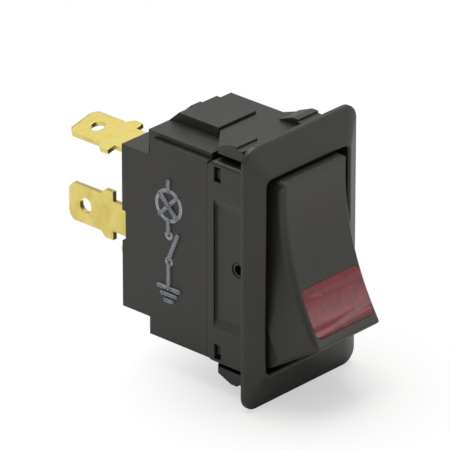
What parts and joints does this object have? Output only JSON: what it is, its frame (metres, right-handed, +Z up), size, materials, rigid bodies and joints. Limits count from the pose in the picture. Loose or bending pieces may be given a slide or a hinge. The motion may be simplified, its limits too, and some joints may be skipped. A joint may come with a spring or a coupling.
{
  "type": "panel rocker switch",
  "caption": "Snap-in panel rocker switch with an oblong bezel, a lit see-saw rocker, side clips and flat blade terminals at the rear.",
  "frame": {"origin": "centre of the bezel's rear face, in the plane that seats on the front of the panel", "axes": "front faces -Y, +Y runs back through the panel to the terminals, +X is right seen from the front, +Z is up"},
  "size_m": [0.0254, 0.0512, 0.044],
  "materials": {
    "frame_nylon": "satin moulded black",
    "base_nylon": "satin moulded black",
    "deck_nylon": "moulded dark grey",
    "rocker_plastic": "satin moulded black",
    "lens_red": "clear deep red, prismatic back",
    "terminal_brass": "stamped, bright",
    "spring_brass": "stamped",
    "copper_arm": "stamped copper alloy",
    "silver_contact": "silver, turned",
    "plunger_acetal": "moulded natural white",
    "spring_steel": "drawn wire",
    "lamp_glass": "clear glass",
    "lead_wire": "tinned wire"
  },
  "bodies": {
    "housing": {"bezel_frame": "frame_nylon", "base_housing": "base_nylon", "side_cover": "base_nylon", "lamp_deck": "deck_nylon", "terminal_upper": "terminal_brass", "terminal_middle": "terminal_brass", "terminal_lower": "terminal_brass", "fixed_contact": "silver_contact", "fulcrum_cradle": "spring_brass", "cradle_rivet": "spring_brass", "lamp_bulb": "lamp_glass", "lamp_lead_line": "lead_wire", "lamp_lead_ground": "lead_wire", "lamp_strip_line": "spring_brass", "lamp_strip_ground": "spring_brass"},
    "rocker": {"rocker": "rocker_plastic", "lens": "lens_red", "plunger_spring": "spring_steel"},
    "plunger": {"plunger": "plunger_acetal"},
    "contact_arm": {"contact_arm": "copper_arm", "moving_contact": "silver_contact"}
  },
  "joints": [
    {"name": "rocker_tilt", "type": "hinge", "parent": "housing", "child": "rocker", "pos_m": [0, 0.0032, 0], "axis": [1, 0, 0], "range_deg": [0, 31]},
    {"name": "plunger_press", "type": "slide", "parent": "rocker", "child": "plunger", "axis": [0, 0.9636, -0.2672], "range_m": [-0.0003, 0], "stiffness_N_per_m": 400, "springref_m": 0.0012},
    {"name": "arm_tilt", "type": "hinge", "parent": "housing", "child": "contact_arm", "pos_m": [-0.00475, 0.01354, 0], "axis": [1, 0, 0], "range_deg": [-13, 0]}
  ],
  "couplings": [
    {"joint": "arm_tilt", "follows": "rocker_tilt", "ratio": -0.41935}
  ]
}
